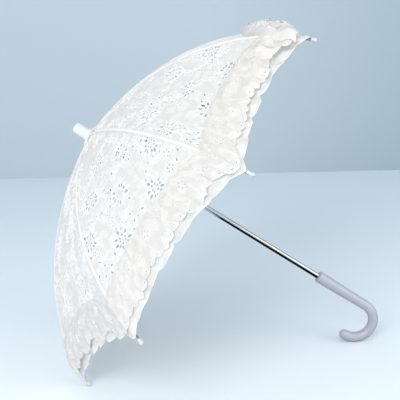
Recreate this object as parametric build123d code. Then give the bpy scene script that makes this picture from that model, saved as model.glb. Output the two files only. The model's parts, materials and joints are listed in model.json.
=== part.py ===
"""Lace parasol with a hooked handle, lying open on two rib tips and the bottom of its hook.

Every piece is built in the shaft's frame: +Z runs up the shaft to the ferrule, the canopy meets
the shaft at the origin, and azimuth 0 (+X) is the side that faces up when the parasol lies down.
The last step turns all pieces together onto the floor. Lengths are in millimetres.
"""

import os
from math import acos, atan2, cos, degrees, hypot, radians, sin, tan

from build123d import *

# Canopy
rib_count = 8
rim_radius = 312.0
canopy_depth = 184.5
crown_pull = 75.0
crown_drop = 3.7
skirt_pull = 163.0
rim_lean = 26.2
cloth_thickness = 0.8
seam_gap = 0.3
crown_hole = 9.0
hem_rise = 9.0
scallop_depth = 17.5

# Gathered lace flounce, sewn on above the hem
flounce_from_hem = 6.0
flounce_width = 40.0
flounce_stand = 8.0
flounce_thickness = 1.5
flounce_seam = 4.0
stitch_gap = 0.05

# Ribs, stretchers and their rivets
cloth_over_rib = 1.2
rib_height = 2.6
rib_width = 3.2
rib_wall = 0.5
blade_width = 1.2
blade_reach = 16.0
blade_overlap = 2.0
eye_radius = 2.0
eye_hole = 0.95
lug_at = 0.5
lug_drop = 4.0
lug_radius = 2.2
lug_thickness = 1.0
rivet_radius = 0.8
rivet_head_radius = 1.5
rivet_head = 0.6
stretcher_width = 3.0
stretcher_height = 2.4
fork_gap = 1.4
fork_length = 9.0
fork_hole = 0.9
tongue_length = 11.0
tongue_width = 1.2
trunnion_radius = 0.7
trunnion_length = 3.6
fold_angle = 56.0

# Rib tips
bead_radius = 3.0
neck_radius = 2.4
neck_length = 5.0

# Shaft, top notch, ferrule and rosette
shaft_radius = 4.0
shaft_wall = 0.6
shaft_top = 17.0
visible_shaft = 410.0
shaft_in_handle = 60.0
pivot_radius = 8.0
pivot_depth = 8.0
notch_radius = 10.5
notch_top = -3.0
notch_bottom = -13.0
notch_slot_top = -4.8
slot_width = 1.8
slot_floor = 5.6
wire_radius = 0.7
rosette_radius = 15.0
rosette_bottom = 0.4
rosette_top = 2.2
ferrule_radius = 8.2
ferrule_flare = 9.6
ferrule_straight_from = 6.0
ferrule_straight_to = 20.0
ferrule_end = 26.5

# Runner and its catch
runner_clearance = 0.15
sleeve_radius = 5.6
crown_radius = 10.4
crown_above = 3.0
crown_below = 4.0
sleeve_below = 44.0
grip_radius = 8.5
grip_length = 10.0
trunnion_clearance = 0.3
catch_gap = 0.5
catch_length = 12.0
catch_width = 1.6
catch_rise = 2.2
catch_slot_width = 2.2
catch_tail = 25.0

# Handle
handle_top_radius = 9.0
handle_lip = 1.5
handle_straight = 90.0
hook_tube_radius = 7.6
hook_radius = 28.8

foot = (Align.CENTER, Align.CENTER, Align.MIN)
hang = (Align.CENTER, Align.CENTER, Align.MAX)
gore_angle = 360.0 / rib_count
half_gore = radians(gore_angle / 2)
rib_azimuths = [gore_angle * (i + 0.5) for i in range(rib_count)]


def arch(lift, start):
    """Control points (radius, height) of a rib's curve, lifted off the canopy's outer face."""
    lean = radians(rim_lean)
    rim = (rim_radius + lift * cos(lean), -canopy_depth + lift * sin(lean))
    skirt = (rim[0] - skirt_pull * sin(lean), rim[1] + skirt_pull * cos(lean))
    return [start, (crown_pull, -crown_drop + lift), skirt, rim]


def curve_point(points, t):
    """Point of a cubic curve at parameter t."""
    weights = ((1 - t) ** 3, 3 * t * (1 - t) ** 2, 3 * t**2 * (1 - t), t**3)
    return tuple(sum(w * p[k] for w, p in zip(weights, points)) for k in (0, 1))


def rib_line(lift):
    """Control points of a line along the rib, lifted off the middle of its section."""
    middle = -cloth_thickness - cloth_over_rib - rib_height / 2
    return arch(middle + lift, (pivot_radius, lift - pivot_depth))


rib_middle = rib_line(0)
rib_end = rib_middle[-1]
notch_pivot = (pivot_radius, -pivot_depth)
lug_base = curve_point(rib_middle, lug_at)


def linkage():
    """The rivet's place, the stretcher's pivot on the runner and their angle to the shaft."""
    ahead = curve_point(rib_middle, lug_at + 0.01)
    behind = curve_point(rib_middle, lug_at - 0.01)
    run = (ahead[0] - behind[0], ahead[1] - behind[1])
    length = hypot(*run)
    rivet = (lug_base[0] + lug_drop * run[1] / length, lug_base[1] - lug_drop * run[0] / length)
    arm = hypot(rivet[0] - notch_pivot[0], rivet[1] - notch_pivot[1])
    angle = acos((notch_pivot[1] - rivet[1]) / arm)
    return rivet, (pivot_radius, notch_pivot[1] - 2 * arm * cos(angle)), arm, angle


rivet_at, runner_pivot, arm_length, open_angle = linkage()
closed_angle = open_angle - radians(fold_angle)
runner_travel = 2 * arm_length * (cos(closed_angle) - cos(open_angle))

handle_top = -visible_shaft
hook_start = handle_top - handle_straight
hook_end_reach = hook_radius + hook_tube_radius


def resting_tilt():
    """Slope of the shaft, in degrees, when two neighbouring beads and the hook touch the floor."""
    across = rib_end[0] * cos(half_gore) - hook_radius
    along = rib_end[1] - hook_start
    span = hypot(across, along)
    return degrees(acos((hook_end_reach - bead_radius) / span) - atan2(along, across))


shaft_slope = resting_tilt()


def at(point, y=0.0):
    """The location of a (radius, height) point in the XZ plane."""
    return Pos(point[0], y, point[1])


def along(start, end):
    """The location at start whose +Z points at end, both in the XZ plane."""
    turn = degrees(atan2(end[0] - start[0], end[1] - start[1]))
    return at(start) * Rot(0, turn, 0)


def between(inner, outer, width):
    """The solid between two curves of the XZ plane, width wide across it."""
    low = [(r, 0, z) for r, z in inner]
    high = [(r, 0, z) for r, z in outer]
    outline = Bezier(*low) + Line(low[-1], high[-1]) + Bezier(*high) + Line(high[0], low[0])
    return extrude(make_face(outline.edges()), width / 2, both=True)


def revolved(points):
    """The solid of revolution about the shaft of a closed outline of (radius, height) points."""
    outline = make_face(Polyline(*[(r, 0, z) for r, z in points], close=True).edges())
    return revolve(outline, Axis.Z, 360)


def around(shape):
    """Copies of a shape at every rib's azimuth."""
    return [Rot(0, 0, azimuth) * shape for azimuth in rib_azimuths]


def across(radius, length):
    """A cylinder that lies along Y."""
    return Rot(90, 0, 0) * Cylinder(radius, length)


# Canopy: each panel is sewn to one rib and reaches to the middle of the gores beside it


def gore_slab(low_lift, high_lift):
    """The cloth of one gore between two lifts, before its edges are cut; its middle is azimuth 0."""
    squeeze = cos(half_gore)
    low = [(r * squeeze, z) for r, z in arch(low_lift, (0, low_lift))]
    high = [(r * squeeze, z) for r, z in arch(high_lift, (0, high_lift))]
    return between(low, high, 1.2 * rim_radius)


def hem_disc(margin):
    """The round cutter of a gore's scalloped hem, grown by margin up the cloth."""
    corner = (rim_radius * sin(half_gore), -canopy_depth + hem_rise)
    radius = (corner[0] ** 2 + scallop_depth**2) / (2 * scallop_depth)
    middle = corner[1] + scallop_depth - radius
    return Pos(0, 0, middle) * Rot(0, 90, 0) * Cylinder(radius + margin, 4 * rim_radius)


def half_wedge():
    """Half of a gore's sector, from a rib's plane almost to the middle of the gore."""
    reach = 1.5 * rim_radius
    edge = -seam_gap / 2
    corners = [(0, edge), (reach, edge), (reach, -reach * tan(half_gore))]
    sector = make_face(Polyline(*corners, close=True).edges())
    return Pos(0, 0, -1.2 * canopy_depth) * extrude(sector, 1.5 * canopy_depth, dir=(0, 0, 1))


def mirrored_pair(half):
    """The two halves of a panel, turned so that they meet on the rib at azimuth 0."""
    turned = Rot(0, 0, gore_angle / 2) * half
    return turned + mirror(turned, about=Plane.XZ)


def canopy_panel():
    """Lace from the crown to the hem, over one rib."""
    cloth = gore_slab(-cloth_thickness, 0) & half_wedge()
    return mirrored_pair(cloth - hem_disc(0) - Cylinder(crown_hole, 4 * rim_radius))


def flounce():
    """Gathered lace over the hem: a seam strip on the panel, and a skirt that stands off it."""
    sewn = hem_disc(flounce_from_hem + flounce_width)
    skirt = gore_slab(flounce_stand, flounce_stand + flounce_thickness)
    seam_line = hem_disc(flounce_from_hem + flounce_width - flounce_seam)
    seam = gore_slab(stitch_gap, flounce_stand) - seam_line
    return mirrored_pair((skirt + seam) & half_wedge() & sewn - hem_disc(flounce_from_hem))


# Ribs


def rib():
    """Curved fluted rib: an eye in the notch, a thin blade, a bar, and a lug for the stretcher."""
    top = rib_line(rib_height / 2)
    under_top = rib_line(rib_height / 2 - rib_wall)
    low = rib_line(-rib_height / 2)
    root = Cylinder(blade_reach, 4 * blade_reach)
    flute = between(low, under_top, rib_width - 2 * rib_wall)
    bar = between(low, top, rib_width) - flute - root
    blade = between(low, top, blade_width) & Cylinder(blade_reach + blade_overlap, 4 * blade_reach)
    lug = at(rivet_at) * across(lug_radius, lug_thickness)
    web_height = lug_drop + rib_height / 2 - rib_wall / 2
    web = along(rivet_at, lug_base) * Box(2 * lug_radius, lug_thickness, web_height, align=foot)
    eye = at(notch_pivot) * across(eye_radius, blade_width)
    bare = bar + blade + lug + web + eye
    return bare - at(notch_pivot) * across(eye_hole, 4) - at(rivet_at) * across(rivet_radius, 4)


def rib_tip(rib_solid):
    """Moulded bead that caps the rib's end and holds the hem's corner."""
    back = (rib_end[0] - sin(radians(rim_lean)), rib_end[1] + cos(radians(rim_lean)))
    neck = along(rib_end, back) * Cylinder(neck_radius, neck_length, align=foot)
    neck = chamfer(neck.edges().sort_by(Axis.Z)[-1:], 0.5)
    return at(rib_end) * Sphere(bead_radius) + neck - rib_solid


def rivet():
    """Rivet through the rib's lug and the stretcher's fork."""
    head_at = stretcher_width / 2 + 0.1 + rivet_head / 2
    pin = across(rivet_radius, 2 * head_at)
    heads = [Pos(0, side * head_at, 0) * across(rivet_head_radius, rivet_head) for side in (-1, 1)]
    return at(rivet_at) * (pin + heads)


def stretcher():
    """Straight strut from the rib's rivet to the runner, forked above and tongued below."""
    length = hypot(rivet_at[0] - runner_pivot[0], rivet_at[1] - runner_pivot[1])
    bar_length = length - tongue_length
    bar = Box(stretcher_height, stretcher_width, bar_length, align=foot)
    fork_end = across(stretcher_height / 2 + 0.5, stretcher_width)
    gap_length = fork_length + lug_radius
    gap = Pos(0, 0, -lug_radius) * Box(8, fork_gap, gap_length, align=foot)
    tongue = Box(stretcher_height, tongue_width, length, align=foot)
    eye = Pos(0, 0, length) * across(stretcher_height / 2, tongue_width)
    trunnion = Pos(0, 0, length) * across(trunnion_radius, trunnion_length)
    body = bar + fork_end + (tongue - Box(20, 20, 2 * fork_length)) + eye + trunnion
    return along(rivet_at, runner_pivot) * (body - gap - across(fork_hole, 8))


# Shaft and what is fixed to it


def catch_outline():
    """Side view of the sprung tooth and its tail, as (radius, height) points."""
    top = runner_pivot[1] - sleeve_below - catch_gap
    bottom = top - catch_length
    tail = bottom - catch_tail
    inside = shaft_radius - shaft_wall - 0.5
    proud = shaft_radius + catch_rise
    points = [(inside - 0.6, tail), (inside, tail), (inside, bottom), (proud - 0.8, top - 1.5)]
    return points + [(proud, top - 1.0), (proud, top), (inside - 0.6, top)]


def top_catch():
    """Sprung tooth that pops out under the runner and holds the canopy open."""
    outline = make_face(Polyline(*[(r, 0, z) for r, z in catch_outline()], close=True).edges())
    return extrude(outline, catch_width / 2, both=True)


def shaft_tube():
    """Straight steel tube from the ferrule into the handle, slotted for the catch."""
    bottom = handle_top - shaft_in_handle
    inner = shaft_radius - shaft_wall
    tube = Pos(0, 0, bottom) * Cylinder(shaft_radius, shaft_top - bottom, align=foot)
    tube -= Pos(0, 0, bottom) * Cylinder(inner, shaft_top - bottom, align=foot)
    slot_top = runner_pivot[1] - sleeve_below - catch_gap + 0.4
    slot_length = catch_length + 0.8
    low = (Align.MIN, Align.CENTER, Align.MAX)
    return tube - Pos(1, 0, slot_top) * Box(8, catch_slot_width, slot_length, align=low)


def top_notch():
    """Slotted collar fixed on the shaft, in which the ribs' eyes turn."""
    body = revolved(
        [
            (shaft_radius, notch_bottom),
            (notch_radius - 0.8, notch_bottom),
            (notch_radius, notch_bottom + 0.8),
            (notch_radius, notch_top - 0.8),
            (notch_radius - 0.8, notch_top),
            (shaft_radius, notch_top),
        ]
    )
    low = (Align.MIN, Align.CENTER, Align.MAX)
    slot = Pos(slot_floor, 0, notch_slot_top) * Box(10, slot_width, 20, align=low)
    return body - around(slot) - Pos(0, 0, -pivot_depth) * Torus(pivot_radius, wire_radius)


def notch_wire():
    """Wire ring that threads the ribs' eyes and holds them in the notch."""
    return Pos(0, 0, -pivot_depth) * Torus(pivot_radius, wire_radius)


def rosette():
    """Gathered disc that covers the canopy's crown under the ferrule."""
    rim = rosette_radius - 1.0
    outline = [
        (shaft_radius, rosette_bottom),
        (rosette_radius, rosette_bottom),
        (rosette_radius, rosette_bottom + 0.6),
        (rim, rosette_top),
        (shaft_radius, rosette_top),
    ]
    return revolved(outline)


def ferrule():
    """Moulded cap on the shaft's top end, flared at its foot and domed at its end."""
    outline = [
        (0, shaft_top),
        (shaft_radius, shaft_top),
        (shaft_radius, rosette_top),
        (ferrule_flare, rosette_top),
        (ferrule_flare - 0.4, rosette_top + 1.2),
        (ferrule_radius, ferrule_straight_from),
        (ferrule_radius, ferrule_straight_to),
    ]
    side = Polyline(*[(r, 0, z) for r, z in outline])
    shoulder = (ferrule_radius, 0, ferrule_end)
    knee = (0.55 * ferrule_radius, 0, ferrule_end)
    dome = Bezier((ferrule_radius, 0, ferrule_straight_to), shoulder, knee, (0, 0, ferrule_end))
    close = Line((0, 0, ferrule_end), (0, 0, shaft_top))
    return revolve(make_face((side + dome + close).edges()), Axis.Z, 360)


def runner():
    """Sliding sleeve: a slotted crown for the stretchers above, a grip for the thumb below."""
    top = runner_pivot[1] + crown_above
    crown_bottom = runner_pivot[1] - crown_below
    bottom = runner_pivot[1] - sleeve_below
    bore = shaft_radius + runner_clearance
    grip_top = bottom + grip_length
    body = revolved(
        [
            (bore, bottom),
            (grip_radius - 1, bottom),
            (grip_radius, bottom + 1),
            (grip_radius, grip_top - 2),
            (sleeve_radius, grip_top + 1),
            (sleeve_radius, crown_bottom),
            (crown_radius - 0.6, crown_bottom),
            (crown_radius, crown_bottom + 0.6),
            (crown_radius, top - 0.6),
            (crown_radius - 0.6, top),
            (bore, top),
        ]
    )
    low = (Align.MIN, Align.CENTER, Align.MIN)
    slot = Pos(sleeve_radius, 0, crown_bottom) * Box(10, slot_width, 20, align=low)
    seat_radius = trunnion_radius + trunnion_clearance
    seat_width = trunnion_length + 2 * trunnion_clearance
    seat = Box(2 * seat_radius, seat_width, 20, align=hang) + across(seat_radius, seat_width)
    pocket = (at(runner_pivot) * seat) & Pos(0, 0, crown_bottom) * Cylinder(20, 20, align=foot)
    return body - around(slot) - around(pocket)


def handle():
    """Moulded handle: a tapered grip bored for the shaft, and a half-round hook with a full end."""
    lip = handle_top_radius - handle_lip
    grip = revolved(
        [
            (0, handle_top - shaft_in_handle),
            (shaft_radius, handle_top - shaft_in_handle),
            (shaft_radius, handle_top),
            (lip, handle_top),
            (handle_top_radius, handle_top - handle_lip),
            (handle_top_radius, handle_top - 3 * handle_lip),
            (hook_tube_radius, hook_start),
            (0, hook_start),
        ]
    )
    section = Pos(0, 0, hook_start) * Circle(hook_tube_radius)
    bend = revolve(section, Axis((-hook_radius, 0, hook_start), (0, 1, 0)), 180)
    end = Pos(-2 * hook_radius, 0, hook_start) * Sphere(hook_tube_radius)
    return grip + bend + end


def floor_pose(pieces):
    """Turn the pieces onto the floor and centre them over the origin; returns the location used."""
    turned = Rot(0, shaft_slope - 90, 0)
    box = Compound(children=[turned * piece for piece in pieces]).bounding_box()
    return Pos(-box.center().X, 0, -box.min.Z) * turned


def build():
    """All pieces in the shaft's frame, by name."""
    one_rib = rib()
    per_rib = {
        "rib": one_rib,
        "rib_tip": rib_tip(one_rib),
        "rib_rivet": rivet(),
        "stretcher": stretcher(),
        "canopy_panel": canopy_panel(),
        "flounce": flounce(),
    }
    pieces = {
        "shaft_tube": shaft_tube(),
        "handle": handle(),
        "ferrule": ferrule(),
        "rosette": rosette(),
        "top_notch": top_notch(),
        "notch_wire": notch_wire(),
        "runner": runner(),
        "top_catch": top_catch(),
    }
    for name, shape in per_rib.items():
        for number, copy in enumerate(around(shape), 1):
            pieces[f"{name}_{number}"] = copy
    return pieces


def main():
    """Write one STEP file for each piece."""
    os.makedirs("parts", exist_ok=True)
    pieces = build()
    pose = floor_pose(list(pieces.values()))
    for name, piece in pieces.items():
        export_step(pose * piece, f"parts/{name}.step")


if __name__ == "__main__":
    main()
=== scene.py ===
"""Lace parasol: cloth, embroidery, materials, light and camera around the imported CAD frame.

Lengths are in metres. A gore's cloth is drawn flat, as it is cut: x runs across the gore from its
middle line, y runs down it from the crown, and place() carries flat points onto the open canopy.
"""

import json
from math import cos, pi, radians, sin, tau

import bmesh
import bpy
import numpy as np
from mathutils import Matrix, Vector
from mathutils.geometry import delaunay_2d_cdt


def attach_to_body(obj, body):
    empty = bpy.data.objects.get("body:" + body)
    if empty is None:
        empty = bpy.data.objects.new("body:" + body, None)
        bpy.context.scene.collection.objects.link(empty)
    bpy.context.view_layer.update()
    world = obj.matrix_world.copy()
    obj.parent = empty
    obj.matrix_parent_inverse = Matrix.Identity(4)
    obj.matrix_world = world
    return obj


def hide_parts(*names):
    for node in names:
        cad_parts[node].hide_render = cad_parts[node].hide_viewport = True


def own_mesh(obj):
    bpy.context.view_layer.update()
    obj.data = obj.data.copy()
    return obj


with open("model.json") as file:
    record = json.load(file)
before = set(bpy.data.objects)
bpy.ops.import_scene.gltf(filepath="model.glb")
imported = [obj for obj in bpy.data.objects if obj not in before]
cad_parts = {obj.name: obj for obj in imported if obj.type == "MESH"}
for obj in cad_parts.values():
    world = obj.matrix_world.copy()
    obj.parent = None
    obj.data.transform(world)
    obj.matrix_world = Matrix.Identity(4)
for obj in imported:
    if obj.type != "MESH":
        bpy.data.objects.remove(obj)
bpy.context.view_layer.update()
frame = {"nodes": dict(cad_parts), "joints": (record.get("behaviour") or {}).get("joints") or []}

# Canopy, as in the CAD
rib_count = 8
rim_radius = 0.312
canopy_depth = 0.1845
crown_pull = 0.075
crown_drop = 0.0037
skirt_pull = 0.163
rim_lean = radians(26.2)
crown_hole = 0.009
hem_rise = 0.009
scallop_depth = 0.0175
flounce_from_hem = 0.006
flounce_width = 0.040
pivot_depth = 0.008

# Lace cloth
cloth_thickness = 0.0005
flounce_thickness = 0.0004
net_pitch = 0.0013
hem_teeth = 7
tooth_depth = 0.0045
hem_wave = 0.0035
cockle = 0.0006

# Lace pattern: flowers with sprays beside them, their angles in radians along the spray's bend
repeat_size = (0.074, 0.088)
gore_shift = (0.037, 0.053)
flower_rings = ((6, 0.0048, (0.0019, 0.0013)), (12, 0.0104, (0.0028, 0.0017)))
flower_leaves = 12
flower_leaf_ring = 0.0150
flower_leaf = (0.0030, 0.0013)
spray_bend = 0.024
spray_second = 0.9
vine_points = 15
vine_from = 0.55
vine_step = 0.15
vine_tip = 2.95
spray_leaves = 5
leaf_from = 0.8
leaf_step = 0.42
eyelet_outside = 0.0042
leaf_inside = 0.0040
bud_eyelets = 5
bud_ring = 0.0044
spray_eyelet = (0.0025, 0.0014)
spray_leaf = (0.0034, 0.0014)
bud_eyelet = (0.0016, 0.0012)
eyelet_gap = 0.0037
plain_crown = 0.019
plain_hem = 0.016

# Embroidery
stitch_lift = 0.0004
leaf_lift = 0.0005
vine_radius = 0.0004
hem_cord_radius = 0.0005
edge_cord_radius = 0.00035

# Flounce: cut flat, gathered along its seam, standing off the cloth most at the top and bottom
flounce_half = 0.140
flounce_cut = 0.050
flounce_stand = 0.0022
flounce_stand_top = 0.0135
flounce_stand_low = 0.014
waves_round = 58
wave_lift = 0.0004
wave_swing = 0.0015
roll_lift = 0.0045
gather_lift = 0.0005
seam_clearance = 0.0006
edge_scallops = 18
edge_depth = 0.003
flounce_eyelet = (0.0011, 0.0008)
eyelets_from_edge = 0.0042
sprig_eyelets = 5
sprig_ring = 0.0040
sprig_leaf = (0.0022, 0.0009)

# Seams and rosette
seam_from = 0.014
seam_ends_above = 0.016
seam_width = 0.0046
seam_height = 0.0007
seam_pucker = 0.08
seam_steps = 420
stitch_pitch = 0.0035
rosette_pleats = 26
rosette_radius = 0.0168

# Camera: its angles, lens and distance, and its aim from the apex
camera_turn = radians(0.37)
camera_rise = radians(13.65)
camera_roll = radians(-2.22)
camera_lens = 66.02
camera_distance = 1.1144
aim_down_shaft = 0.217
aim_left = 0.0202
aim_over = 0.0179

# Light and stage
# Floor and wall colours: the floor is painted darker from near to far and the wall darker from left to
# right, painted shade where the light falls off
floor_near = (0.85, 0.905, 0.95)
floor_far = (0.655, 0.745, 0.81)
wall_left = (0.48, 0.555, 0.61)
wall_right = (0.325, 0.41, 0.465)
sky_colour = (0.95, 0.975, 1.0)
sky_strength = 0.93
key_place = (-0.9, -2.3, 1.7)
key_size = 1.3
key_power = 42.0
fill_place = (1.9, -1.0, 0.9)
fill_size = 1.4
fill_power = 14.0
wall_left_at = 1.40
wall_right_at = 1.30

joints = {joint["name"]: joint for joint in frame["joints"]}
half_gore = pi / rib_count
rib_names = range(1, rib_count + 1)
up = -np.array(joints["runner_slide"]["axis"])
hinges = [np.array(joints[f"rib_{n}_fold"]["pos_m"]) for n in rib_names]
rib_across = [np.array(joints[f"rib_{n}_fold"]["axis"]) for n in rib_names]
rib_out = [np.cross(across, up) for across in rib_across]
apex = sum(hinges) / rib_count + up * pivot_depth


# Canopy surface


def arch(squeeze, count=600):
    """Radius, height and running length of the canopy's curve, with its radius squeezed."""
    lean = (sin(rim_lean), cos(rim_lean))
    rim = (rim_radius, -canopy_depth)
    skirt = (rim[0] - skirt_pull * lean[0], rim[1] + skirt_pull * lean[1])
    points = np.array([(0, 0), (crown_pull, -crown_drop), skirt, rim])
    t = np.linspace(0, 1, count)[:, None]
    curve = (1 - t) ** 3 * points[0] + 3 * t * (1 - t) ** 2 * points[1]
    curve += 3 * t**2 * (1 - t) * points[2] + t**3 * points[3]
    radius, height = curve[:, 0] * squeeze, curve[:, 1]
    steps = np.hypot(np.diff(radius), np.diff(height))
    return radius, height, np.concatenate([[0], np.cumsum(steps)])


gore_radius, gore_height, gore_run = arch(cos(half_gore))
gore_slope = np.arctan2(-np.gradient(gore_height), np.gradient(gore_radius))
gore_spread = np.tan(half_gore)

# The hem of each gore is an arc in the plane across the gore and along the shaft
hem_corner = (rim_radius * sin(half_gore), -canopy_depth + hem_rise)
hem_radius = (hem_corner[0] ** 2 + scallop_depth**2) / (2 * scallop_depth)
hem_middle = hem_corner[1] + scallop_depth - hem_radius


def run_at_height(height):
    """Flat y of a height along the shaft."""
    return np.interp(-height, -gore_height, gore_run)


def edge_at(run):
    """Flat x of the rib's line at flat y."""
    return np.interp(run, gore_run, gore_radius) * gore_spread


def gore_frame(gore):
    """The outward and sideways directions of the gore that follows a rib."""
    out = rib_out[gore % rib_count] + rib_out[(gore + 1) % rib_count]
    out = out / np.linalg.norm(out)
    return out, np.cross(up, out)


def place(gore, flat, lift=0.0):
    """Points of the open canopy, lift above the cloth, for flat points of a gore."""
    out, side = gore_frame(gore)
    x, y = flat[:, 0], flat[:, 1]
    slope = np.interp(y, gore_run, gore_slope)
    radius = np.interp(y, gore_run, gore_radius) + lift * np.sin(slope)
    height = np.interp(y, gore_run, gore_height) + lift * np.cos(slope)
    return apex + np.outer(radius, out) + np.outer(x, side) + np.outer(height, up)


def widest(reach):
    """Angle from the gore's middle at which an arc of this radius meets the rib."""
    low, high = np.zeros_like(reach), np.full_like(reach, 1.0)
    for _ in range(30):
        angle = (low + high) / 2
        run = run_at_height(hem_middle + reach * np.cos(angle))
        inside = reach * np.sin(angle) < edge_at(run)
        low, high = np.where(inside, angle, low), np.where(inside, high, angle)
    return (low + high) / 2


arc_reach = hem_radius + np.linspace(-0.02, 0.36, 400)
arc_angle = widest(arc_reach)


def hem_share(flat):
    """Place along the hem, -1 and 1 at the ribs, and distance up from the hem."""
    height = np.interp(flat[:, 1], gore_run, gore_height) - hem_middle
    reach = np.hypot(flat[:, 0], height)
    angle = np.arctan2(flat[:, 0], height)
    return angle / np.interp(reach, arc_reach, arc_angle), reach - hem_radius


def hem_point(share, above):
    """Flat point at a place along the hem, -1 to 1, and a distance up from it."""
    share, above = np.broadcast_arrays(np.asarray(share, float), np.asarray(above, float))
    reach = hem_radius + above
    angle = share * np.interp(reach, arc_reach, arc_angle)
    run = run_at_height(hem_middle + reach * np.cos(angle))
    return np.stack([reach * np.sin(angle), run], axis=-1)


def hem_teeth_depth(share):
    """How far each tooth of the scalloped hem reaches past the hem's arc."""
    drift = 0.5 * np.sin(pi * share) * np.sin(9 * share + 1)
    lobe = np.abs(np.cos(pi * hem_teeth * (share + 1) / 2 + drift)) - 0.55
    return tooth_depth * lobe * (1 + 0.45 * np.sin(5 * share + 2))


def cloth_lift(gore, flat):
    """Small waves of the stretched lace, stronger towards the hem."""
    share, above = hem_share(flat)
    x, y = flat[:, 0] + 0.31 * gore, flat[:, 1]
    soft = np.sin(x * 190 + 2 * np.sin(y * 60)) * np.sin(y * 130 + gore)
    wave = np.cos(pi * hem_teeth * (share + 1)) * np.exp(-np.clip(above, 0, None) / 0.007)
    away_from_ribs = 1 - np.clip(np.abs(share), 0, 1) ** 6
    return (cockle * soft * np.clip(y / 0.3, 0, 1) + hem_wave * wave) * away_from_ribs


# Lace pattern, drawn flat


def ellipse(centre, radii, turn, count):
    """Corners of an ellipse."""
    angle = np.arange(count) * tau / count
    x, y = radii[0] * np.cos(angle), radii[1] * np.sin(angle)
    return np.stack(
        [centre[0] + x * cos(turn) - y * sin(turn), centre[1] + x * sin(turn) + y * cos(turn)], 1
    )


def polar(centre, radius, angle):
    """Point at a distance and an angle from a centre."""
    return (centre[0] + radius * cos(angle), centre[1] + radius * sin(angle))


def scaled(radii, size):
    """Half sizes of an element, made larger or smaller."""
    return (radii[0] * size, radii[1] * size)


def flower(centre, turn):
    """Two rings of eyelets and a ring of leaves: (kind, centre, radii, turn) for each element."""
    parts = []
    for count, away, radii in flower_rings:
        for petal in range(count):
            angle = turn + petal * tau / count + 0.12 * sin(4 * petal + 3 * turn)
            uneven = 1 + 0.1 * sin(2.3 * petal + 5 * turn)
            hole_at = polar(centre, away * uneven, angle)
            parts.append(("hole", hole_at, scaled(radii, uneven), angle))
    for leaf in range(flower_leaves):
        angle = turn + (leaf + 0.5) * tau / flower_leaves
        parts.append(("leaf", polar(centre, flower_leaf_ring, angle), flower_leaf, angle))
    return parts


def spray(centre, turn, size):
    """A curved vine with leaves and eyelets, and a bud of small eyelets at its end."""
    bend = spray_bend * size
    hub = polar(centre, bend, turn + pi / 2)
    start = turn - pi / 2
    vine = [polar(hub, bend, start + vine_from + step * vine_step) for step in range(vine_points)]
    parts = [("vine", vine, 0, 0)]
    for leaf in range(spray_leaves):
        angle = start + leaf_from + leaf * leaf_step
        along = angle + pi / 2
        out = polar(hub, bend + eyelet_outside * size, angle)
        into = polar(hub, bend - leaf_inside * size, angle + 0.18)
        parts.append(("hole", out, scaled(spray_eyelet, size), along - 0.7))
        parts.append(("leaf", into, scaled(spray_leaf, size), along + 0.6))
    tip = polar(hub, bend, start + vine_tip)
    for bud in range(bud_eyelets):
        angle = turn + bud * tau / bud_eyelets
        hole_at = polar(tip, bud_ring * size, angle)
        parts.append(("hole", hole_at, scaled(bud_eyelet, size), angle))
    return parts


def lace_pattern(gore):
    """Flowers and sprays of one gore, as if cut from a long roll of lace."""
    wide, high = repeat_size
    shift = (gore_shift[0] * gore % wide, gore_shift[1] * gore % high)
    parts = []
    for row in range(-1, 10):
        for column in range(-4, 5):
            centre = (column * wide + (row % 2) * wide / 2 - shift[0], row * high / 2 + shift[1])
            turn = 1.1 * row + 2.3 * column + gore
            parts += flower(centre, turn)
            parts += spray(centre, turn, 1.0)
            parts += spray(centre, turn + pi, spray_second)
    return parts


def inside_gore(points, side, margin):
    """Which points lie on one side's half of a gore, margin inside its edges."""
    points = np.atleast_2d(points)
    _, above = hem_share(points)
    x = points[:, 0] * side
    fits = (x > margin) & (x < edge_at(points[:, 1]) - margin - 0.0015)
    return fits & (points[:, 1] > plain_crown) & (above > plain_hem)


def half_pattern(gore, side):
    """The elements of a gore's lace that lie on one side of its middle line."""
    parts = lace_pattern(gore)
    kept = []
    for kind, line, _, _ in parts:
        if kind == "vine":
            run = np.array(line)[inside_gore(line, side, 0.0012)]
            if len(run) > 3:
                kept.append(("vine", run, 0, 0))
    parts = [part for part in parts if part[0] != "vine"]
    margins = np.array([part[2][0] + 0.0008 for part in parts])
    fits = inside_gore(np.array([part[1] for part in parts]), side, margins)
    holes = np.empty((0, 2))
    for part in [part for part, fit in zip(parts, fits) if fit]:
        if part[0] == "hole":
            if len(holes) and np.hypot(*(holes - part[1]).T).min() < eyelet_gap:
                continue
            holes = np.vstack([holes, part[1]])
        kept.append(part)
    return kept


# Meshes


def grid_points(low, high, pitch):
    """A staggered grid of flat points."""
    rows = np.arange(low[1], high[1], pitch * 0.866)
    columns = np.arange(low[0], high[0], pitch)
    points = [
        np.stack([columns + (k % 2) * pitch / 2, np.full_like(columns, y)], 1)
        for k, y in enumerate(rows)
    ]
    return np.concatenate(points)


def clear_of(points, holes, margin):
    """The points that are not near any hole's centre."""
    keep = np.ones(len(points), bool)
    for _, centre, radii, _ in holes:
        keep &= np.hypot(points[:, 0] - centre[0], points[:, 1] - centre[1]) > radii[0] + margin
    return points[keep]


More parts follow.
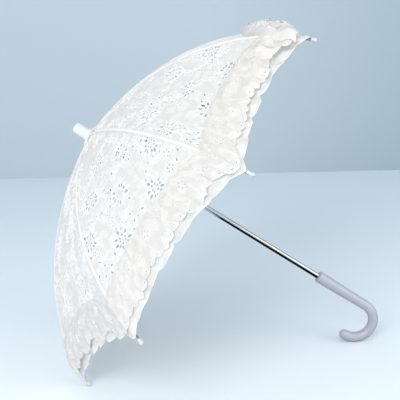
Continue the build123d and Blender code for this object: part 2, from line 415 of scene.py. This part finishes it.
def cut_cloth(outline, points, holes):
    """Triangles of a flat cut with eyelets: (flat points, triangles)."""
    rings = [np.asarray(outline)] + [ellipse(c, r, t, 12) for _, c, r, t in holes]
    flat, faces = [np.asarray(points)], []
    start = len(points)
    for ring in rings:
        faces.append(list(range(start, start + len(ring))))
        flat.append(ring)
        start += len(ring)
    corners = [Vector(p) * 1000 for p in np.concatenate(flat)]
    made = delaunay_2d_cdt(corners, [], faces, 1, 1e-5)
    flat, triangles = np.array([v[:] for v in made[0]]) / 1000, np.array(made[2])
    middle = flat[triangles].mean(1)
    keep = np.ones(len(triangles), bool)
    for _, centre, radii, turn in holes:
        away = middle - centre
        x = away[:, 0] * cos(turn) + away[:, 1] * sin(turn)
        y = -away[:, 0] * sin(turn) + away[:, 1] * cos(turn)
        keep &= (x / radii[0]) ** 2 + (y / radii[1]) ** 2 > 0.95
    return flat, triangles[keep]


class Shell:
    """Collects vertices, faces and flat coordinates, and makes one mesh object."""

    def __init__(self):
        self.points, self.faces, self.flat = [], [], []
        self.count = 0

    def add(self, points, faces, flat=None):
        points = np.asarray(points)
        flat = np.zeros((len(points), 2)) if flat is None else np.asarray(flat)
        self.points.append(points)
        self.flat.append(flat)
        self.faces += [tuple(int(k) + self.count for k in face) for face in faces]
        self.count += len(points)

    def make(self, name, weld=1e-6):
        mesh = bpy.data.meshes.new(name)
        mesh.from_pydata(np.concatenate(self.points).tolist(), [], self.faces)
        layer = mesh.uv_layers.new(name="flat")
        flat = np.concatenate(self.flat)
        loops = np.zeros(len(mesh.loops), int)
        mesh.loops.foreach_get("vertex_index", loops)
        layer.data.foreach_set("uv", flat[loops].ravel())
        work = bmesh.new()
        work.from_mesh(mesh)
        bmesh.ops.remove_doubles(work, verts=work.verts, dist=weld)
        work.to_mesh(mesh)
        work.free()
        mesh.shade_smooth()
        obj = bpy.data.objects.new(name, mesh)
        bpy.context.scene.collection.objects.link(obj)
        return obj


def thicken(obj, thickness):
    """Give a sheet its thickness, inwards, and keep its cut edges sharp."""
    solid = obj.modifiers.new("thickness", "SOLIDIFY")
    solid.thickness, solid.offset = thickness, -1
    bpy.context.view_layer.update()
    depsgraph = bpy.context.evaluated_depsgraph_get()
    mesh = bpy.data.meshes.new_from_object(obj.evaluated_get(depsgraph), depsgraph=depsgraph)
    obj.modifiers.clear()
    obj.data = mesh
    mesh.shade_smooth()
    mesh.set_sharp_from_angle(angle=radians(50))
    return obj


def ring_faces(count, loops, closed=True):
    """Quads between neighbouring loops of count points each."""
    last = count if closed else count - 1
    faces = []
    for k in range(loops - 1):
        for j in range(last):
            a, b = k * count + j, k * count + (j + 1) % count
            faces.append((a, b, b + count, a + count))
    return faces


def add_eyelet(shell, put, centre, radii, turn):
    """Overcast rim of an eyelet."""
    flat, lifts = [], []
    for grow, lift in ((0.0, 0.0), (0.0002, 0.8), (0.0006, 1.0), (0.0010, 0.0)):
        flat.append(ellipse(centre, (radii[0] + grow, radii[1] + grow), turn, 12))
        lifts.append(np.full(12, lift * stitch_lift))
    flat, lifts = np.concatenate(flat), np.concatenate(lifts)
    shell.add(put(flat, lifts), ring_faces(12, 4), flat)


def add_leaf(shell, put, centre, radii, turn):
    """Satin-stitched leaf, raised along its middle."""
    flat, lifts = [], []
    for size, lift in ((1.0, 0.0), (0.88, 0.6), (0.55, 0.9), (0.12, 1.0)):
        flat.append(ellipse(centre, scaled(radii, size), turn, 12))
        lifts.append(np.full(12, lift * leaf_lift))
    flat, lifts = np.concatenate(flat), np.concatenate(lifts)
    faces = ring_faces(12, 4) + [tuple(range(36, 48))]
    shell.add(put(flat, lifts), faces, flat)


def add_cord(shell, put, line, radius, closed=False):
    """Raised cord stitched along a flat line."""
    line = np.asarray(line)
    run = np.gradient(line, axis=0)
    side = np.stack([-run[:, 1], run[:, 0]], 1) / np.linalg.norm(run, axis=1)[:, None]
    flat, lifts = [], []
    for away, lift in ((-1, 0), (-0.7, 0.8), (0, 1.2), (0.7, 0.8), (1, 0)):
        flat.append(line + side * away * radius)
        lifts.append(np.full(len(line), lift * radius))
    flat, lifts = np.concatenate(flat), np.concatenate(lifts)
    shell.add(put(flat, lifts), ring_faces(len(line), 5, closed), flat)


def embroider(shell, parts, put):
    """Add the raised stitching of every element of a pattern."""
    for kind, centre, radii, turn in parts:
        if kind == "vine":
            add_cord(shell, put, centre, vine_radius)
        elif kind == "leaf":
            add_leaf(shell, put, centre, radii, turn)
        else:
            add_eyelet(shell, put, centre, radii, turn)


# Canopy pieces


def half_outline(side):
    """Flat outline of the half of a gore on one side of its middle, from the crown round."""
    crown = crown_hole * cos(half_gore)
    shares = np.linspace(1, 0, 60)
    hem = hem_point(shares, -hem_teeth_depth(shares))
    down = np.linspace(crown, hem[0, 1], 70)[:-1]
    seam = np.stack([edge_at(down), down], 1)
    back = np.linspace(hem[-1, 1], crown, 60)[1:]
    middle = np.stack([np.zeros_like(back), back], 1)
    outline = np.concatenate([seam, hem, middle])
    return outline * (side, 1)


def inner_points(side, holes):
    """Flat points inside half a gore, closer together near the hem."""
    wide = grid_points((0.003, 0.014), (0.13, 0.36), 0.0055)
    fine = grid_points((0.0015, 0.2), (0.13, 0.4), 0.0028)
    share, above = hem_share(wide)
    wide = wide[(share < 0.985) & (above > 0.022) & (wide[:, 0] < edge_at(wide[:, 1]) - 0.002)]
    share, above = hem_share(fine)
    low = 0.0016 - hem_teeth_depth(share)
    inside = (share < 0.985) & (above > low) & (above < 0.022)
    fine = fine[inside & (fine[:, 0] < edge_at(fine[:, 1]) - 0.0015)]
    return clear_of(np.concatenate([wide, fine]) * (side, 1), holes, 0.0012)


def rib_line(index, run, lift):
    """Points above a rib's seam at flat y."""
    edge = np.stack([edge_at(run), run], 1)
    slope = np.interp(run, gore_run, gore_slope)[:, None]
    raised = rib_out[index] * np.sin(slope) + up * np.cos(slope)
    return place(index - 1, edge) + raised * np.reshape(lift, (-1, 1))


def panel_halves(index):
    """The two half gores of the panel on a rib: (gore, side of the gore's middle)."""
    return [((index - 1) % rib_count, 1), (index, -1)]


def canopy_put(gore):
    """Carries flat points of a gore onto the cloth, with its small waves."""
    return lambda flat, lift=0.0: place(gore, flat, cloth_lift(gore, flat) + lift)


def make_panel(index):
    """Lace cloth over one rib, with its eyelets cut through, and its embroidery."""
    cloth, stitching = Shell(), Shell()
    for gore, side in panel_halves(index):
        parts = half_pattern(gore, side)
        holes = [part for part in parts if part[0] == "hole"]
        flat, triangles = cut_cloth(half_outline(side), inner_points(side, holes), holes)
        put = canopy_put(gore)
        cloth.add(put(flat), triangles, flat)
        embroider(stitching, parts, put)
        shares = np.linspace(side, 0, 90)
        edge = hem_point(shares, 0.0004 - hem_teeth_depth(shares))
        add_cord(stitching, put, edge, hem_cord_radius)
    cloth = cloth.make(f"canopy_lace_{index + 1}", weld=2e-5)
    return thicken(facing_out(cloth), cloth_thickness), stitching


def facing_out(obj):
    """Turn every face outwards, away from the shaft."""
    mesh = obj.data
    work = bmesh.new()
    work.from_mesh(mesh)
    for face in work.faces:
        away = np.array(face.calc_center_median()) - apex + 0.3 * up
        if np.dot(face.normal, away) < 0:
            face.normal_flip()
    work.to_mesh(mesh)
    work.free()
    return obj


def make_seam(index):
    """Felled seam along a rib, standing proud where the cloth is stretched over the steel."""
    shell = Shell()
    run = np.linspace(seam_from, hem_point(1.0, seam_ends_above)[1], seam_steps)
    pucker = 1 + seam_pucker * np.sin(run * tau / stitch_pitch)
    across = [(-1, 0.0), (-0.86, 0.5), (-0.45, 0.8), (0, 1.0), (0.45, 0.8), (0.86, 0.5), (1, 0.0)]
    for away, lift in across:
        lifts = lift * seam_height * pucker + 0.0001
        if away == 0:
            points = rib_line(index, run, lifts)
        else:
            gore, side = (index - 1, 1) if away < 0 else (index, -1)
            x = side * (edge_at(run) - abs(away) * seam_width / 2)
            points = place(gore, np.stack([x, run], 1), lifts)
        shell.add(points, [], np.stack([np.full_like(run, away * seam_width / 2), run], 1))
    shell.faces = ring_faces(seam_steps, len(across), closed=False)
    return thicken(facing_out(shell.make(f"seam_{index + 1}")), 0.0003)


# Flounce: u runs -1 to 1 across a panel, v runs 0 to 1 from its seam to its free edge


def flounce_put(index):
    """Carries the flounce's flat cut, u across and v down, onto the gathered ruffle."""

    def put(flat, lift=0.0):
        u, v = flat[:, 0] / flounce_half, flat[:, 1] / flounce_cut
        points = np.empty((len(flat), 3))
        for gore, sign in ((index - 1, 1), (index, -1)):
            here = u <= 0 if sign > 0 else u > 0
            share = u[here] + sign
            turn = tau * (index + u[here] / 2) / rib_count
            lifts = lift[here] if np.ndim(lift) else lift
            points[here] = ruffle(gore, share, turn, np.clip(v[here], 0, 1.05), lifts)
        return points

    return put


def ruffle(gore, share, turn, v, lift):
    """Points of the gathered flounce; turn is the angle round the parasol from the first rib."""
    top, low = flounce_facing(turn)
    phase = waves_round * turn + 1.3 * np.sin(3 * turn + 0.7) + 0.9 * np.sin(5 * turn + 2.0)
    uneven = 1 + 0.3 * np.sin(7 * turn + 1) + 0.25 * np.sin(11 * turn + 0.3)
    waving = uneven * np.clip(v / 0.7, 0, 1) ** 1.3
    height = flounce_height(top, low, v, phase, waving) + lift + seam_clearance
    down = flounce_width * v**1.2 + 0.003 * waving * np.cos(0.5 * phase + 0.8)
    above = flounce_from_hem + flounce_width - down
    swing = wave_swing * (1 + 2 * top + 1.2 * low) * waving * np.sin(2 * phase)
    flat = hem_point(np.clip(share, -1, 1), above)
    out, side = gore_frame(gore)
    lean = half_gore * np.sign(share) * np.abs(share) ** 3
    outward = np.outer(np.cos(lean), out) + np.outer(np.sin(lean), side)
    along = np.outer(np.cos(lean), side) - np.outer(np.sin(lean), out)
    slope = np.interp(flat[:, 1], gore_run, gore_slope)[:, None]
    normal = outward * np.sin(slope) + up * np.cos(slope)
    return place(gore, flat) + normal * height[:, None] + along * swing[:, None]


def flounce_facing(turn):
    """How much the flounce at an angle round the parasol faces up, and how much it faces down."""
    facing = np.cos(turn + half_gore)
    return (0.5 + 0.5 * facing) ** 8, (0.5 - 0.5 * facing) ** 14


def flounce_height(top, low, v, phase, waving):
    """Height of the flounce over the cloth: its stand, its waves, a roll and fine gathers."""
    stand = flounce_stand + flounce_stand_top * top + flounce_stand_low * low
    span = np.clip(v, 0, 1)
    steep, eased = 1 - (1 - span) ** 5, span * (2 - span)
    free = top + 0.6 * low
    height = stand * (free * steep + (1 - free) * eased) * (1 - 0.3 * v**2)
    waves = (wave_lift + 0.15 * stand + 0.0015 * low) * waving * np.sin(phase)
    roll = roll_lift * top * np.clip(v / 0.2, 0, 1) * np.sin(13 * v + 0.35 * phase)
    gathers = gather_lift * np.clip(v / 0.06, 0, 1) * np.exp(-v / 0.25) * np.sin(3 * phase)
    return height + waves + roll + gathers


def scalloped_edge(u):
    """Flat points of the flounce's free edge."""
    lobe = np.abs(np.sin(pi * edge_scallops * (u + 1) / 2))
    return np.stack([u * flounce_half, flounce_cut - edge_depth * (1 - lobe)], 1)


def flounce_pattern():
    """A row of small eyelets in the scallops, and a few sprigs of eyelets above them."""
    parts = []
    for k in range(edge_scallops):
        x = ((k + 0.5) / edge_scallops * 2 - 1) * flounce_half
        parts.append(("hole", (x, flounce_cut - eyelets_from_edge), flounce_eyelet, 0))
    blooms = edge_scallops // 2
    for k in range(blooms):
        x = ((k + 0.5) / blooms * 2 - 1) * flounce_half
        y = flounce_cut * (0.60 if k % 2 else 0.38)
        for petal in range(sprig_eyelets):
            angle = 0.5 * k + petal * tau / sprig_eyelets
            parts.append(("hole", polar((x, y), sprig_ring, angle), flounce_eyelet, angle))
        parts.append(("leaf", (x + 0.0085, y - 0.003), sprig_leaf, 0.5))
    return parts


def make_flounce(index):
    """Gathered lace over the hem, with its overcast edge."""
    parts = flounce_pattern()
    holes = [part for part in parts if part[0] == "hole"]
    edge = scalloped_edge(np.linspace(-1, 1, 8 * edge_scallops + 1))
    rise = np.linspace(flounce_cut - edge_depth, 0, 30)[1:]
    seam = np.linspace(flounce_half, -flounce_half, 120)[1:]
    right = np.stack([np.full_like(rise, flounce_half), rise], 1)
    top = np.stack([seam, np.zeros_like(seam)], 1)
    left = (right * (-1, 1))[::-1][1:]
    outline = np.concatenate([edge, right, top, left])
    points = grid_points((-flounce_half + 0.0015, 0.0015), (flounce_half, flounce_cut), 0.003)
    low = scalloped_edge(points[:, 0] / flounce_half)[:, 1] - 0.0012
    points = points[(points[:, 1] < low) & (np.abs(points[:, 0]) < flounce_half - 0.001)]
    flat, triangles = cut_cloth(outline, clear_of(points, holes, 0.0009), holes)
    put = flounce_put(index)
    cloth, stitching = Shell(), Shell()
    cloth.add(put(flat), triangles, flat)
    embroider(stitching, parts, put)
    add_cord(stitching, put, edge - (0, 0.0002), edge_cord_radius)
    return thicken(facing_out(cloth.make(f"flounce_lace_{index + 1}")), flounce_thickness), stitching


def make_rosette():
    """Gathered disc over the crown, pleated round the shaft.

    Each ring of its profile has a radius, and a height and a depth of pleat in millimetres.
    """
    profile = [(0.0042, 1.5, 0.0), (0.0065, 1.9, 0.05), (0.0093, 2.05, 0.1), (0.0105, 2.3, 0.15)]
    profile += [(0.0125, 2.1, 0.2), (0.0145, 1.4, 0.2), (0.0162, 0.4, 0.15)]
    profile += [(rosette_radius, -0.4, 0.1)]
    turn = np.arange(rosette_pleats * 8) * tau / (rosette_pleats * 8)
    out, side = gore_frame(0)
    points = []
    for radius, height, pleat in profile:
        high = height + pleat * np.sin(turn * rosette_pleats) + 0.15 * pleat * np.sin(turn * 5)
        edge = 0.0006 * (radius / rosette_radius) ** 4
        wide = radius + edge * np.sin(turn * rosette_pleats + 1)
        ring = np.outer(wide * np.cos(turn), out) + np.outer(wide * np.sin(turn), side)
        points.append(apex + ring + np.outer(high / 1000, up))
    shell = Shell()
    flat = np.concatenate([np.stack([turn * 0.012, np.full_like(turn, p[0])], 1) for p in profile])
    shell.add(np.concatenate(points), ring_faces(len(turn), len(profile)), flat)
    return thicken(facing_out(shell.make("rosette_cloth")), 0.0003)


# Materials


class Paint:
    """A Principled material and short calls that add its nodes."""

    def __init__(self, name, colour, roughness, metallic=0.0):
        self.material = bpy.data.materials.new(name)
        self.material.use_nodes = True
        self.tree = self.material.node_tree
        self.shader = self.tree.nodes["Principled BSDF"]
        self.output = self.tree.nodes["Material Output"]
        self.shader.inputs["Base Color"].default_value = (*colour, 1)
        self.shader.inputs["Roughness"].default_value = roughness
        self.shader.inputs["Metallic"].default_value = metallic
        self.place = None

    def node(self, kind, inputs=None, **settings):
        made = self.tree.nodes.new(kind)
        for key, value in settings.items():
            setattr(made, key, value)
        for key, value in (inputs or {}).items():
            if isinstance(value, bpy.types.NodeSocket):
                self.tree.links.new(value, made.inputs[key])
            else:
                made.inputs[key].default_value = value
        return made

    def where(self, flat=False):
        """Position on the object, or on the cloth's flat cut."""
        if self.place is None:
            source = self.node("ShaderNodeUVMap", uv_map="flat") if flat else None
            coordinates = source or self.node("ShaderNodeTexCoord")
            self.place = coordinates.outputs["UV" if flat else "Object"]
        return self.place

    def noise(self, scale, detail=3.0, flat=False, stretch=None):
        place = self.where(flat)
        if stretch:
            inputs = {0: place, 1: stretch}
            place = self.node("ShaderNodeVectorMath", inputs, operation="MULTIPLY").outputs[0]
        inputs = {"Vector": place, "Scale": scale, "Detail": detail}
        return self.node("ShaderNodeTexNoise", inputs).outputs[0]

    def ramp(self, value, low, high, out_low, out_high):
        inputs = {0: value, 1: low, 2: high, 3: out_low, 4: out_high}
        return self.node("ShaderNodeMapRange", inputs).outputs[0]

    def maths(self, operation, a, b=0.0):
        return self.node("ShaderNodeMath", {0: a, 1: b}, operation=operation).outputs[0]

    def colours(self, value, first, second):
        mix = self.node("ShaderNodeMix", {0: value, 6: (*first, 1), 7: (*second, 1)}, data_type="RGBA")
        self.tree.links.new(mix.outputs[2], self.shader.inputs["Base Color"])

    def set(self, name, value):
        if isinstance(value, bpy.types.NodeSocket):
            self.tree.links.new(value, self.shader.inputs[name])
        else:
            self.shader.inputs[name].default_value = value

    def bump(self, height, distance, strength=1.0):
        inputs = {"Height": height, "Distance": distance, "Strength": strength}
        self.set("Normal", self.node("ShaderNodeBump", inputs).outputs[0])


def lace_paint(name, solid, glow, tone):
    """Fine net with denser clothwork in it.

    Solid is how much of the net's holes is filled, glow how much light the threads let through, and
    tone how white they are.
    """
    light, dark, lit = (1, 0.98, 0.965), (0.87, 0.855, 0.84), (0.94, 0.925, 0.905)
    light, dark, lit = [tuple(tone * part for part in colour) for colour in (light, dark, lit)]
    paint = Paint(name, light, 0.8)
    inputs = {"Vector": paint.where(True), "Scale": 1 / net_pitch, "Randomness": 0.35}
    net = paint.node("ShaderNodeTexVoronoi", inputs, feature="DISTANCE_TO_EDGE").outputs["Distance"]
    thread = paint.ramp(net, 0.10, 0.22, 1.0, 0.0)
    clothwork = paint.ramp(paint.noise(75.0, 3.0, True), 0.46, 0.54, 0.0, 1.0)
    filled = paint.ramp(clothwork, 0.0, 1.0, solid, 1.0)
    cover = paint.maths("MAXIMUM", thread, filled)
    mottle = paint.ramp(paint.noise(230.0, 3.0, True), 0.36, 0.64, 0.0, 1.0)
    shade = paint.maths("MULTIPLY", paint.maths("ADD", mottle, clothwork), 0.5)
    paint.colours(shade, dark, light)
    paint.bump(paint.maths("ADD", thread, paint.noise(900.0, 2.0, True)), 0.00012, 0.6)
    paint.set("Sheen Weight", 0.2)
    through = paint.node("ShaderNodeBsdfTranslucent", {"Color": (*lit, 1)}).outputs[0]
    cloth = paint.node("ShaderNodeMixShader", {0: glow, 1: paint.shader.outputs[0], 2: through})
    clear = paint.node("ShaderNodeBsdfTransparent").outputs[0]
    out = paint.node("ShaderNodeMixShader", {0: cover, 1: clear, 2: cloth.outputs[0]})
    paint.tree.links.new(out.outputs[0], paint.output.inputs["Surface"])
    return paint.material


def thread_paint():
    """Satin stitch: fine parallel threads with a soft sheen."""
    paint = Paint("embroidery_thread", (0.78, 0.78, 0.77), 0.8)
    threads = paint.noise(2600.0, 1.0, True, (1.0, 0.25, 1.0))
    paint.colours(threads, (0.72, 0.71, 0.70), (0.81, 0.80, 0.79))
    paint.set("Roughness", paint.ramp(threads, 0.3, 0.7, 0.6, 0.75))
    paint.set("Sheen Weight", 0.25)
    paint.bump(threads, 0.0001, 0.7)
    return paint.material


def tape_paint():
    """Woven seam tape."""
    paint = Paint("seam_tape", (0.83, 0.83, 0.82), 0.75)
    weave = paint.noise(1500.0, 2.0, True)
    paint.colours(weave, (0.70, 0.69, 0.68), (0.77, 0.76, 0.75))
    paint.set("Sheen Weight", 0.2)
    paint.bump(weave, 0.00012, 0.6)
    return paint.material


def plastic_paint(name, light, dark, roughness):
    """Moulded plastic: faint flow marks, fine handling scratches and a slightly uneven gloss."""
    paint = Paint(name, light, roughness)
    flow = paint.noise(30.0, 3.0)
    paint.colours(paint.ramp(flow, 0.3, 0.7, 0.0, 1.0), dark, light)
    scratches = paint.noise(420.0, 4.0, stretch=(0.2, 1.0, 1.0))
    paint.set("Roughness", paint.ramp(scratches, 0.35, 0.75, roughness - 0.05, roughness + 0.1))
    paint.bump(scratches, 0.00003, 0.4)
    paint.set("Coat Weight", 0.25)
    paint.set("Coat Roughness", 0.15)
    return paint.material


def steel_paint(name, light, dark, roughness, mark=0.00001):
    """Plated or drawn steel: dulled patches and fine lines from drawing and polishing."""
    paint = Paint(name, light, roughness, 1.0)
    patches = paint.noise(60.0, 4.0)
    paint.colours(paint.ramp(patches, 0.35, 0.7, 0.0, 1.0), light, dark)
    lines = paint.noise(1200.0, 2.0, stretch=(0.05, 1.0, 0.05))
    paint.set("Roughness", paint.ramp(lines, 0.3, 0.8, roughness * 0.7, roughness * 1.6))
    paint.bump(lines, mark, 0.5)
    return paint.material


def stage_paint(name, first, last, axis, span):
    """Matt paper, graded from one colour to another along an axis: painted shade on floor and wall."""
    paint = Paint(name, first, 0.9)
    paint.set("Specular IOR Level", 0.0)
    places = paint.node("ShaderNodeSeparateXYZ", {0: paint.where()})
    paint.colours(paint.ramp(places.outputs[axis], *span, 0.0, 1.0), first, last)
    return paint.material


# Camera, light and stage


def make_camera():
    """The camera at the photograph's angle, aimed at the middle of the open parasol."""
    turn, level, roll = camera_turn, cos(camera_rise), camera_roll
    back = Vector((sin(turn) * level, -cos(turn) * level, sin(camera_rise)))
    right = Vector((cos(turn), sin(turn), 0))
    over = back.cross(right)
    right, over = right * cos(roll) + over * sin(roll), over * cos(roll) - right * sin(roll)
    target = Vector(apex) - Vector(up) * aim_down_shaft - right * aim_left + over * aim_over
    data = bpy.data.cameras.new("camera")
    data.lens = camera_lens
    camera = bpy.data.objects.new("camera", data)
    axes = Matrix((right, over, back)).transposed().to_4x4()
    camera.matrix_world = Matrix.Translation(target + back * camera_distance) @ axes
    bpy.context.scene.collection.objects.link(camera)
    bpy.context.scene.camera = camera


def make_lamp(name, place, size, power, colour):
    """A square softbox that faces the parasol."""
    data = bpy.data.lights.new(name, "AREA")
    data.size, data.energy, data.color = size, power, colour
    lamp = bpy.data.objects.new(name, data)
    aim = Vector((0, 0, 0.2)) - Vector(place)
    lamp.matrix_world = Matrix.Translation(place) @ aim.to_track_quat("-Z", "Y").to_matrix().to_4x4()
    bpy.context.scene.collection.objects.link(lamp)


def make_sheet(name, corners, material):
    """One flat face of the stage."""
    mesh = bpy.data.meshes.new(name)
    mesh.from_pydata(corners, [], [(0, 1, 2, 3)])
    mesh.materials.append(material)
    obj = bpy.data.objects.new(name, mesh)
    bpy.context.scene.collection.objects.link(obj)
    return obj


def make_stage():
    """Pale floor and wall, a dark card that only reflections see, and soft light all round."""
    # The floor's grade from near to far and the wall's from left to right are painted shade
    floor = stage_paint("floor_paint", floor_near, floor_far, "Y", (-0.5, 0.9))
    wall = stage_paint("wall_paint", wall_left, wall_right, "X", (0.0, 0.9))
    near, side, high = -4.0, 5.0, 4.0
    slant = (wall_right_at - wall_left_at) / 1.4
    far_left = (-side, wall_left_at - slant * (side - 0.7))
    far_right = (side, wall_right_at + slant * (side - 0.7))
    corners = [(-side, near, 0), (side, near, 0), (*far_right, 0), (*far_left, 0)]
    make_sheet("floor", corners, floor)
    corners = [(*far_left, 0), (*far_right, 0), (*far_right, high), (*far_left, high)]
    make_sheet("wall", corners, wall)
    corners = [(-0.1, -1.3, 0.0008), (0.7, -1.3, 0.0008), (0.7, 0.35, 0.0008), (-0.1, 0.35, 0.0008)]
    black = (0.01, 0.01, 0.012)
    card = make_sheet("dark_card", corners, stage_paint("card_paint", black, black, "X", (0, 1)))
    card.visible_camera = card.visible_diffuse = card.visible_shadow = False
    card.visible_transmission = False
    world = bpy.data.worlds.new("world")
    world.use_nodes = True
    sky = world.node_tree.nodes["Background"]
    sky.inputs["Color"].default_value = (*sky_colour, 1)
    sky.inputs["Strength"].default_value = sky_strength
    bpy.context.scene.world = world
    make_lamp("key", key_place, key_size, key_power, (1, 0.99, 0.97))
    make_lamp("fill", fill_place, fill_size, fill_power, (0.95, 0.98, 1))
    bpy.context.scene.view_settings.view_transform = "Standard"


def dress(obj, material):
    """Give an object one material."""
    obj.data.materials.clear()
    obj.data.materials.append(material)
    return obj


def attach(obj, material, slot, body, joint=None, across=None, anchor=None):
    """Material and body of a piece, and a mesh of its own when a joint is given; the slot is not used.
    """
    dress(obj, material)
    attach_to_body(obj, body)
    if joint:
        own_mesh(obj)
    return obj


# The parasol

canopy_lace = lace_paint("canopy_lace", 0.93, 0.38, 0.89)
flounce_lace = lace_paint("flounce_lace", 0.88, 0.45, 0.94)
rosette_lace = lace_paint("rosette_lace", 1.0, 0.35, 0.96)
thread = thread_paint()
tape = tape_paint()
for index in range(rib_count):
    body, number = f"rib_{index + 1}", index + 1
    folds = (body, f"{body}_fold", rib_across[index], hinges[index])
    cloth, stitching = make_panel(index)
    attach(cloth, canopy_lace, "canopy_lace", *folds)
    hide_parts(f"canopy_panel_{number}")
    attach(stitching.make(f"embroidery_{number}"), thread, "canopy_lace", *folds)
    attach(make_seam(index), tape, "canopy_lace", *folds)
    ruffled, stitching = make_flounce(index)
    attach(ruffled, flounce_lace, "flounce_lace", *folds)
    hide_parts(f"flounce_{number}")
    attach(stitching.make(f"flounce_edging_{number}"), thread, "flounce_lace", *folds)

rosette = attach(make_rosette(), rosette_lace, "rosette_cloth", "shaft")
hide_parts("rosette")

paints = {
    "shaft_steel": steel_paint("shaft_steel", (0.62, 0.63, 0.65), (0.5, 0.51, 0.53), 0.09),
    "handle_plastic": plastic_paint("handle_plastic", (0.405, 0.42, 0.47), (0.375, 0.39, 0.44), 0.33),
    "ferrule_plastic": plastic_paint("ferrule_plastic", (0.72, 0.76, 0.82), (0.68, 0.72, 0.79), 0.3),
    "collar_plastic": plastic_paint("collar_plastic", (0.84, 0.85, 0.87), (0.8, 0.81, 0.83), 0.35),
    "rib_steel": steel_paint("rib_steel", (0.6, 0.61, 0.62), (0.48, 0.48, 0.49), 0.28, 0.00003),
    "rivet_steel": steel_paint("rivet_steel", (0.6, 0.6, 0.6), (0.45, 0.45, 0.45), 0.25, 0.00002),
    "spring_wire": steel_paint("spring_wire", (0.5, 0.5, 0.51), (0.36, 0.36, 0.37), 0.25, 0.00002),
    "tip_plastic": plastic_paint("tip_plastic", (0.58, 0.59, 0.6), (0.52, 0.53, 0.55), 0.16),
}
slots = {
    "shaft_tube": "shaft_steel",
    "handle": "handle_plastic",
    "ferrule": "ferrule_plastic",
    "top_notch": "collar_plastic",
    "runner": "collar_plastic",
    "notch_wire": "spring_wire",
    "top_catch": "spring_wire",
    "rib": "rib_steel",
    "stretcher": "rib_steel",
    "rib_rivet": "rivet_steel",
    "rib_tip": "tip_plastic",
}
for name, node in frame["nodes"].items():
    kind = name.rstrip("0123456789").rstrip("_")
    if kind in slots:
        dress(node, paints[slots[kind]])

make_camera()
make_stage()
